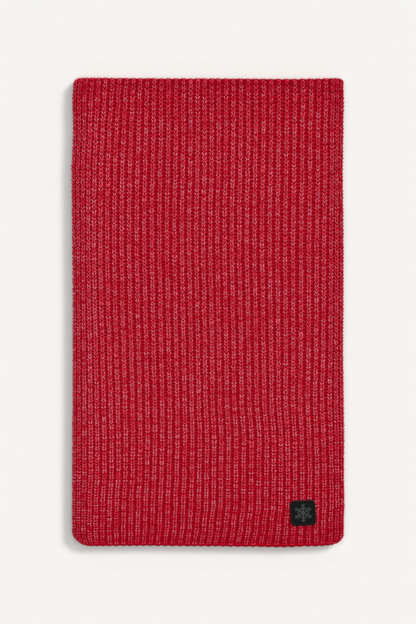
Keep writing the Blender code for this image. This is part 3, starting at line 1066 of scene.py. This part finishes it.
# The marled yarn. Its two plies and their fibres turn along a stitch, each stitch in its own way.
PLY_TWIST = 1.6
PLY_CHANCE = 7.0
OWN_CHANCE = 17.0
DEPTH_CHANCE = 29.0
FIBRE_CHANCE = 90.0
FIBRES_ROUND = 16.0
FIBRES_ALONG = 3.0
STRANDS = 4  # that show round the yarn
FLECK_SCALE = (900.0, 420.0, 500.0)
YARN_RELIEF = Relief(0.00030, 0.8)
FIBRE_RELIEF = 1.1
PLY_RELIEF = 0.5
STRAND_RELIEF = 0.18

# How the rose share falls off down the yarn's sides, as a painted highlight along its crest; on the
# crimson ply, from stitch to stitch, and between flecks and fibres; towards the ends of a stitch, as
# painted shade where they tuck under; and where the cloth rounds off, as painted shade.
CREST_HIGHLIGHT_SPAN = (0.1, -0.9)
CREST_HIGHLIGHT_LOW = 0.08
PLY_SPAN = (-0.5, 0.5)
PLY_LOW = 0.3
OWN_LOW = 0.6
SNUG_OWN_LOW = 0.45
FLECK_SPAN = (0.32, 0.70)
FLECK_LOW = 0.2
FLECK_HIGH = 2.05
FIBRE_SPAN = (0.3, 0.7)
FIBRE_LOW = 0.6
MIDDLE_SPAN = (0.10, 0.32)  # from a stitch's middle, as a share of its length
SNUG_MIDDLE_SPAN = (0.05, 0.24)
END_SHADE_LOW = 0.6
SNUG_END_SHADE_LOW = 0.12
EDGE_SHADE_SHARE = 0.38

# How the crimson darkens at random, as painted shade where the cloth rounds off, and as painted shade
# where a tight stitch tucks under the next.
TONE_LOW = 0.83
EDGE_SHADE_TONE = 0.87
SNUG_TUCK_SHADE = 0.88

# Where a point lies on its yarn, and what the patterns read there. Its closed is the painted shade at
# the free end, round the outer fold and at the sides.
YarnPoint = namedtuple("YarnPoint", "around chance snug closed ply fibres middle")


def rose_share(tree, given, at):
    """How much of the rose ply shows, with a painted highlight along the crest and painted shade at the
    stitch ends and where the cloth rounds off.
    """
    flecks = node(tree, "ShaderNodeMapping", {"Vector": object_place(tree), "Scale": FLECK_SCALE})
    flecks = noise(tree, flecks.outputs[0], detail=1.0, roughness=0.5)
    own_low = spread(tree, at.snug, OWN_LOW, SNUG_OWN_LOW)
    own_high = spread(tree, at.snug, 2 - OWN_LOW, 2 - SNUG_OWN_LOW)
    share = product(
        tree,
        spread(tree, at.snug, given["Marl"], given["Snug marl"]),
        # painted shade at the free end, round the outer fold and at the sides
        spread(tree, at.closed, 1.0, EDGE_SHADE_SHARE),
        # painted highlight along the yarn's crest
        smooth_range(tree, wave(tree, at.around, kind="COSINE"), *CREST_HIGHLIGHT_SPAN, CREST_HIGHLIGHT_LOW, 1.0),
        smooth_range(tree, at.ply, *PLY_SPAN, PLY_LOW, 1.0),
        spread(tree, another(tree, at.chance, OWN_CHANCE), own_low, own_high),
        smooth_range(tree, flecks, *FLECK_SPAN, FLECK_LOW, FLECK_HIGH),
        # painted shade towards the ends of a stitch, where they tuck under
        spread(tree, at.middle, spread(tree, at.snug, END_SHADE_LOW, SNUG_END_SHADE_LOW), 1.0),
        smooth_range(tree, at.fibres, *FIBRE_SPAN, FIBRE_LOW, 2 - FIBRE_LOW),
    )
    return clamp(tree, share)


def crimson_tone(tree, given, at):
    """How light the crimson is, by its fibres and from stitch to stitch, darker as painted shade where
    the cloth rounds off and at the ends of a tight stitch, and with painted light on the middle of a
    tight stitch.
    """
    depth = product(tree, another(tree, at.chance, DEPTH_CHANCE), 0.5)
    # painted shade at the ends of a tight stitch, and painted light, lighter or darker by the yarn's own
    # amount, on its proud middle
    tuck_shade = spread(tree, at.snug, 1.0, SNUG_TUCK_SHADE)
    proud = spread(tree, at.snug, 1.0, given["Snug proud"])
    return product(
        tree,
        spread(tree, maths(tree, "MULTIPLY_ADD", at.fibres, 0.5, depth), TONE_LOW, 1.0),
        # painted shade at the free end, round the outer fold and at the sides
        spread(tree, at.closed, 1.0, EDGE_SHADE_TONE),
        spread(tree, at.middle, tuck_shade, proud),
    )


def marled_yarn_group():
    """Two plies, one crimson and one full of pale rose fibres, twisted round each other, with a painted
    highlight along the crest and painted shade at the stitch ends and where the cloth rounds off.
    """
    tree, given, made = new_group("marled yarn", {
        "Crimson": COLOUR, "Rose": COLOUR, "Marl": NUMBER, "Snug marl": NUMBER, "Snug proud": NUMBER
    }, {"Colour": COLOUR, "Height": NUMBER})
    around, along = yarn_place(tree)
    # closed carries the painted shade at the free end, round the outer fold and at the sides
    chance, snug, closed = (stored(tree, name) for name in (YARN_CHANCE, YARN_SNUG, YARN_EDGE_SHADE))
    turn = maths(tree, "MULTIPLY_ADD", along, PLY_TWIST, around)
    turn = maths(tree, "MULTIPLY_ADD", chance, PLY_CHANCE, turn)
    ply = wave(tree, turn)
    streaks = node(tree, "ShaderNodeCombineXYZ", {
        "X": product(tree, turn, FIBRES_ROUND),
        "Y": product(tree, along, FIBRES_ALONG),
        "Z": product(tree, chance, FIBRE_CHANCE),
    })
    fibres = noise(tree, streaks.outputs[0], detail=3.0, roughness=0.6)
    from_middle = maths(tree, "ABSOLUTE", maths(tree, "SUBTRACT", along, 0.5))
    near, far = (spread(tree, snug, *span) for span in zip(MIDDLE_SPAN, SNUG_MIDDLE_SPAN))
    middle = smooth_range(tree, from_middle, near, far, 1.0, 0.0)
    at = YarnPoint(around, chance, snug, closed, ply, fibres, middle)
    crimson = node(tree, "ShaderNodeVectorMath", {
        0: given["Crimson"], "Scale": crimson_tone(tree, given, at)
    }, operation="SCALE")
    colour = blend(tree, rose_share(tree, given, at), crimson.outputs[0], given["Rose"])
    join(tree, colour, made["Colour"])
    height = maths(tree, "MULTIPLY_ADD", fibres, FIBRE_RELIEF, product(tree, ply, PLY_RELIEF))
    strands = wave(tree, turn, STRANDS)
    join(tree, maths(tree, "MULTIPLY_ADD", strands, STRAND_RELIEF, height), made["Height"])
    return tree


ROSE = (0.91, 0.35, 0.44, 1)
# In the middle of a tight stitch, each yarn's crimson is painted lighter, above 1, or darker, below 1,
# by its second-last number: painted light on the proud middle.
Yarn = namedtuple("Yarn", "name crimson marl snug_marl snug_proud sheen")
RIB_YARN = Yarn("rib yarn", (0.80, 0.0003, 0.034, 1), 0.56, 0.88, 1.20, 0.01)
# The valley, edge and chain yarns are shaded copies of the rib yarn: the same yarn, its crimson painted
# darker and less of its rose showing, as painted shade in the valleys, over the sides and along the free
# ends.
SHADED_VALLEY_YARN = Yarn("valley yarn", (0.465, 0.0002, 0.013, 1), 0.055, 0.026, 1.06, 0.0)
SHADED_EDGE_YARN = Yarn("edge yarn", (0.56, 0.0003, 0.020, 1), 0.30, 0.42, 0.94, 0.0)
SHADED_CHAIN_YARN = Yarn("chain yarn", (0.38, 0.0003, 0.015, 1), 0.30, 0.36, 1.0, 0.0)
WOOL_SHEEN_TINT = (1.0, 0.45, 0.5, 1)


def yarn_material(yarn, group):
    mat, tree, shader = material(
        yarn.name, roughness=0.9, specular=0.0, sheen=yarn.sheen, tint=WOOL_SHEEN_TINT
    )
    made = node(tree, "ShaderNodeGroup", {
        "Crimson": yarn.crimson, "Rose": ROSE, "Marl": yarn.marl,
        "Snug marl": yarn.snug_marl, "Snug proud": yarn.snug_proud,
    }, node_tree=group)
    join(tree, made.outputs["Colour"], shader.inputs["Base Color"])
    bump(tree, made.outputs["Height"], YARN_RELIEF, shader)
    return mat


# The cloth's crimson is painted shade: darker than the yarn's where it shows between the stitches, and
# darkest in the hollows between its loops.
SHADED_DEEP_CRIMSON = (0.40, 0.0001, 0.009, 1)
SHADED_PROUD_CRIMSON = (0.58, 0.001, 0.014, 1)
CLOTH_RELIEF = Relief(0.00045, 0.9)
CLOTH_GRAIN = 900.0
CLOTH_GRAIN_RELIEF = 0.5
VALLEY_SPAN = (0.22, 0.34)  # how many wales from a crest the valley starts
CHEVRON = 1.7  # rows that a plain stitch rises on its way out, for each wale
PROUD_SPAN = (-0.5, 1.1)  # of the height, from deep to proud


def cloth_material():
    """The cloth between the stitches: the backs of the same loops, as bars and chevrons, painted darker
    as shade.
    """
    mat, tree, shader = material("cloth between the stitches", roughness=0.95, specular=0.0)
    from_crest = maths(tree, "PINGPONG", stored(tree, CLOTH_WALE), 0.5)
    in_valley = smooth_range(tree, from_crest, *VALLEY_SPAN)
    start = spread(tree, in_valley, product(tree, from_crest, CHEVRON), BAR_PHASE)
    loops = wave(tree, maths(tree, "SUBTRACT", stored(tree, CLOTH_ROW), start), kind="COSINE")
    grain = noise(tree, object_place(tree), detail=3.0, roughness=0.6, scale=CLOTH_GRAIN)
    height = maths(tree, "MULTIPLY_ADD", grain, CLOTH_GRAIN_RELIEF, loops)
    # painted shade: darker where the loops lie low
    share = smooth_range(tree, height, *PROUD_SPAN)
    join(tree, blend(tree, share, SHADED_DEEP_CRIMSON, SHADED_PROUD_CRIMSON), shader.inputs["Base Color"])
    bump(tree, height, CLOTH_RELIEF, shader)
    return mat


SOOT_TWILL = (0.010, 0.011, 0.011, 1)
SOOT_GAPS = (0.0045, 0.00495, 0.00495, 1)
# The threads' lighter colours show as a painted highlight along the plies and as each thread's own
# random tone.
SOOT_THREAD = (0.004, 0.005, 0.005, 1)
SOOT_LIGHT = (0.012, 0.013, 0.013, 1)
SLATE_THREAD = (0.050, 0.051, 0.050, 1)
SLATE_LIGHT = (0.090, 0.092, 0.090, 1)
TWILL_TURN = radians(28)
TWILL_CORDS = 420.0
TWILL_GRAIN = 2200.0
TWILL_GRAIN_RELIEF = 0.4
TWILL_RELIEF = Relief(0.00012, 0.8)
THREAD_TWIST = 6.0
THREAD_PLIES = 2.0
THREAD_PLY_HIGHLIGHT = 0.25
THREAD_OWN_LIGHT = 0.7
THREAD_RELIEF = Relief(0.00005, 0.5)


def twill_material():
    """Fine diagonal cords across the patch."""
    mat, tree, shader = material("soot twill", roughness=0.85, specular=0.08, sheen=0.03)
    place = object_place(tree)
    turned = node(tree, "ShaderNodeMapping", {"Vector": place, "Rotation": (0, 0, TWILL_TURN)})
    cords = node(tree, "ShaderNodeTexWave", {
        "Vector": turned.outputs[0], "Scale": TWILL_CORDS
    }, bands_direction="X").outputs["Fac"]
    grain = noise(tree, place, detail=2.0, roughness=0.5, scale=TWILL_GRAIN)
    join(tree, blend(tree, cords, SOOT_GAPS, SOOT_TWILL), shader.inputs["Base Color"])
    height = maths(tree, "MULTIPLY_ADD", grain, TWILL_GRAIN_RELIEF, cords)
    bump(tree, height, TWILL_RELIEF, shader)
    return mat


def thread_material(name, colour, light):
    """Glossy embroidery thread with fine twisted plies, a painted highlight along them, and a random
    tone from thread to thread.
    """
    mat, tree, shader = material(name, roughness=0.5, specular=0.15, sheen=0.03)
    around, along = yarn_place(tree)
    turn = maths(tree, "MULTIPLY_ADD", along, THREAD_TWIST, product(tree, around, THREAD_PLIES))
    plies = wave(tree, turn)
    own = product(tree, stored(tree, YARN_CHANCE), THREAD_OWN_LIGHT)
    # painted highlight along the plies, and each thread's own random tone
    share = clamp(tree, maths(tree, "MULTIPLY_ADD", plies, THREAD_PLY_HIGHLIGHT, own))
    join(tree, blend(tree, share, colour, light), shader.inputs["Base Color"])
    bump(tree, plies, THREAD_RELIEF, shader)
    return mat


# The scarf: the rows that each piece takes, and the rings of points of the two cloth walls.
FOLD_LEAD = 0.006  # before a fold, where the knitting that goes round it starts
FRONT_FOLD_SHARE = 0.93  # of the outer fold, which has the front's own stitches
FRONT_ROWS_END = TOP_RUN + FRONT_FOLD_SHARE * STRETCHES[OUTER_FOLD].run
NOSE_ROWS_START = ENDS[UNDER] - FOLD_LEAD
NOSE_ROWS_END = ENDS[MIDDLE_FOLD] + 0.001
VALLEYS = np.arange(WALES - 1) + 0.5

Band = namedtuple("Band", "name start end seed")
FRONT_BANDS = (
    Band("front_stitches_low", 0.0, 0.150, 11),
    Band("front_stitches_middle", 0.150, 0.310, 12),
    Band("front_stitches_top", 0.310, FRONT_ROWS_END, 13),
)

Run = namedtuple("Run", "start end count")
FRONT_RUNS = (
    Run(0.0010, 0.0200, 9),
    Run(0.0250, TOP_RUN - FOLD_LEAD, 84),
    Run(TOP_RUN, ENDS[OUTER_FOLD], 15),
)
FOLDED_RUNS = (
    Run(ENDS[OUTER_FOLD] + 0.0003, ENDS[UNDER], 50),
    Run(ENDS[UNDER], ENDS[MIDDLE_FOLD], 12),
    Run(ENDS[MIDDLE_FOLD], STARTS[INNER_FOLD], 16),
    Run(STARTS[INNER_FOLD], ENDS[INNER_FOLD], 8),
    Run(ENDS[INNER_FOLD], ENDS[LAST] + 0.0009, 16),
)


def rings_at(runs):
    """Where along the strip a wall has its rings of points. Runs that meet share one."""
    return np.unique(np.concatenate([np.linspace(*run) for run in runs]))


def build_front(rib_yarn, shaded_valley_yarn, shaded_edge_yarn, inner):
    """The stretch that lies on top, the outer fold, and the strands along the whole strip's sides."""
    for band in FRONT_BANDS:
        rows = rows_from(band.start, band.end)
        knit(band.name, FRONT_STITCH, range(WALES), rows, band.seed, place_legs, rib_yarn)
    on_fold = rows_from(TOP_RUN - FOLD_LEAD, FRONT_ROWS_END) + 0.5
    rows = np.concatenate([rows_from(0.0, FRONT_ROWS_END), on_fold])
    # purl bars in the valley yarn, painted darker as shade in the valleys
    knit("front_purl_bars", PURL_BAR, VALLEYS, rows, 21, place_bars, shaded_valley_yarn)
    rows = range(len(ROWS) - 1)
    # side strands in the edge yarn, painted darker as shade over the sides
    knit("edge_strands", SIDE_STRAND, (-1, 1), rows, 35, place_strands, shaded_edge_yarn)
    front = cloth_wall("front_cloth", rings_at(FRONT_RUNS), ENDS[LAST], inner, "front_stretch")


def build_folded(rib_yarn, shaded_valley_yarn, inner):
    """The three layers under it. Their stitches show underneath and round the middle fold."""
    rows = rows_from(FRONT_ROWS_END, NOSE_ROWS_START)
    under = knit("under_stitches", UNDER_STITCH, range(WALES), rows, 31, place_legs, rib_yarn)
    rows = rows_from(NOSE_ROWS_START, NOSE_ROWS_END)
    nose = knit("middle_fold_stitches", FOLD_STITCH, range(WALES), rows, 32, place_legs, rib_yarn)
    rows = np.concatenate([rows, rows + 0.5])
    # purl bars in the valley yarn, painted darker as shade in the valleys
    bars = knit("middle_fold_bars", PURL_BAR, VALLEYS, rows, 33, place_bars, shaded_valley_yarn)
    ribbed_to = ENDS[MIDDLE_FOLD]
    folded = cloth_wall("folded_cloth", rings_at(FOLDED_RUNS), ribbed_to, inner, "folded_layers")


def build_scarf():
    group = marled_yarn_group()
    rib_yarn, shaded_valley_yarn, shaded_edge_yarn, shaded_chain_yarn = (
        yarn_material(yarn, group) for yarn in (RIB_YARN, SHADED_VALLEY_YARN, SHADED_EDGE_YARN, SHADED_CHAIN_YARN)
    )
    inner = cloth_material()
    build_front(rib_yarn, shaded_valley_yarn, shaded_edge_yarn, inner)
    build_folded(rib_yarn, shaded_valley_yarn, inner)
    for chain in CHAINS:
        # links in the chain yarn, painted darker as shade along the free ends
        build_chain(chain, inner, shaded_chain_yarn)


def build_badge():
    build_patch(twill_material())
    build_border(thread_material("soot thread", SOOT_THREAD, SOOT_LIGHT))
    build_snowflake(thread_material("slate thread", SLATE_THREAD, SLATE_LIGHT))


# Floor, light and camera.
VIEW_HEIGHT = 0.59904  # how much of the length fills the frame
VIEW_LEVEL = 0.012  # and at what height
LENS = 180.0
SENSOR = 36.0

# The studio lamps: where each stands, as seen from the cloth, and how wide it is in degrees.
Lamp = namedtuple("Lamp", "name towards strength softness")
LAMPS = (
    Lamp("key", (0.70, 0.56, 1.0), 1.6, 19),
    Lamp("overhead", (0.0, 0.0, 1.0), 1.15, 50),
)
SKY = (1.0, 0.995, 0.985, 1)
SKY_STRENGTH = 0.25

FLOOR = (0.90, 0.87, 0.84, 1)
FLOOR_REACH = 4.0
# The floor's emission is painted light, as the floor is no lamp: a faint cool glow all over, against the
# red that the cloth throws on it, and a stronger one beside the cloth, most on its lit side, lifting the
# shade and the red there.
FLOOR_GLOW = (0.018, 0.044, 0.044, 1)  # cool, against the red that the cloth throws on it
LIT_GLOW = (0.056, 0.140, 0.140, 1)  # right beside the cloth's lit side
NO_GLOW = (0.0, 0.0, 0.0, 1)
SHADED_GLOW = 0.50  # of the way there, beside the other sides
GLOW_REACH = 0.010  # over which it falls off
GLOW_INSET = 0.0018  # it starts this far in, under the rounded edge
LIT_FROM = (0.115, 0.130)  # the X where the lit side's glow sets in
END_FROM = (0.20, 0.24)  # and how far from the middle, along the cloth, it weakens
END_GLOW = 0.4  # what is left of it there


def past_edge(tree, place, size):
    """How far out from the glow's start a place lies, on one axis."""
    past = maths(tree, "SUBTRACT", maths(tree, "ABSOLUTE", place), size / 2 - GLOW_INSET)
    return maths(tree, "MAXIMUM", past, 0.0)


def build_floor():
    bm = bmesh.new()
    bmesh.ops.create_grid(bm, x_segments=1, y_segments=1, size=FLOOR_REACH)
    floor = piece_from("floor", bm)
    mat, tree, shader = material("pale floor", roughness=0.95, specular=0.0)
    shader.inputs["Base Color"].default_value = FLOOR
    place = split(tree, object_place(tree))
    across, along = past_edge(tree, place["X"], WIDTH), past_edge(tree, place["Y"], LENGTH)
    squared = maths(tree, "ADD", product(tree, across, across), product(tree, along, along))
    distance = maths(tree, "SQRT", squared)
    near = maths(tree, "EXPONENT", maths(tree, "DIVIDE", distance, -GLOW_REACH))
    lit = smooth_range(tree, place["X"], *LIT_FROM, SHADED_GLOW, 1.0)
    from_middle = maths(tree, "ABSOLUTE", place["Y"])
    share = product(tree, near, lit, smooth_range(tree, from_middle, *END_FROM, 1.0, END_GLOW))
    # the floor's painted light: a glow, strongest right beside the cloth
    glow = blend(tree, share, FLOOR_GLOW, LIT_GLOW)
    beside = smooth_range(tree, distance, 0.0, GLOW_INSET)
    join(tree, blend(tree, beside, NO_GLOW, glow), shader.inputs["Emission Color"])
    shader.inputs["Emission Strength"].default_value = 1.0
    floor.data.materials.append(mat)


def build_light():
    world = bpy.data.worlds.new("studio")
    world.use_nodes = True
    sky = world.node_tree.nodes["Background"]
    sky.inputs["Color"].default_value = SKY
    sky.inputs["Strength"].default_value = SKY_STRENGTH
    bpy.context.scene.world = world
    for lamp in LAMPS:
        light = bpy.data.lights.new(lamp.name, "SUN")
        light.energy = lamp.strength
        light.angle = radians(lamp.softness)
        obj = bpy.data.objects.new(lamp.name, light)
        obj.rotation_euler = Vector(lamp.towards).to_track_quat("Z", "Y").to_euler()
        bpy.context.scene.collection.objects.link(obj)


def build_camera():
    camera = bpy.data.cameras.new("camera")
    camera.lens = LENS
    camera.sensor_width = SENSOR
    obj = bpy.data.objects.new("camera", camera)
    obj.location = (0.0, 0.0, VIEW_LEVEL + VIEW_HEIGHT * LENS / SENSOR)
    bpy.context.scene.collection.objects.link(obj)
    bpy.context.scene.camera = obj


build_scarf()
build_badge()
build_floor()
build_light()
build_camera()
bpy.context.scene.view_settings.view_transform = "Standard"
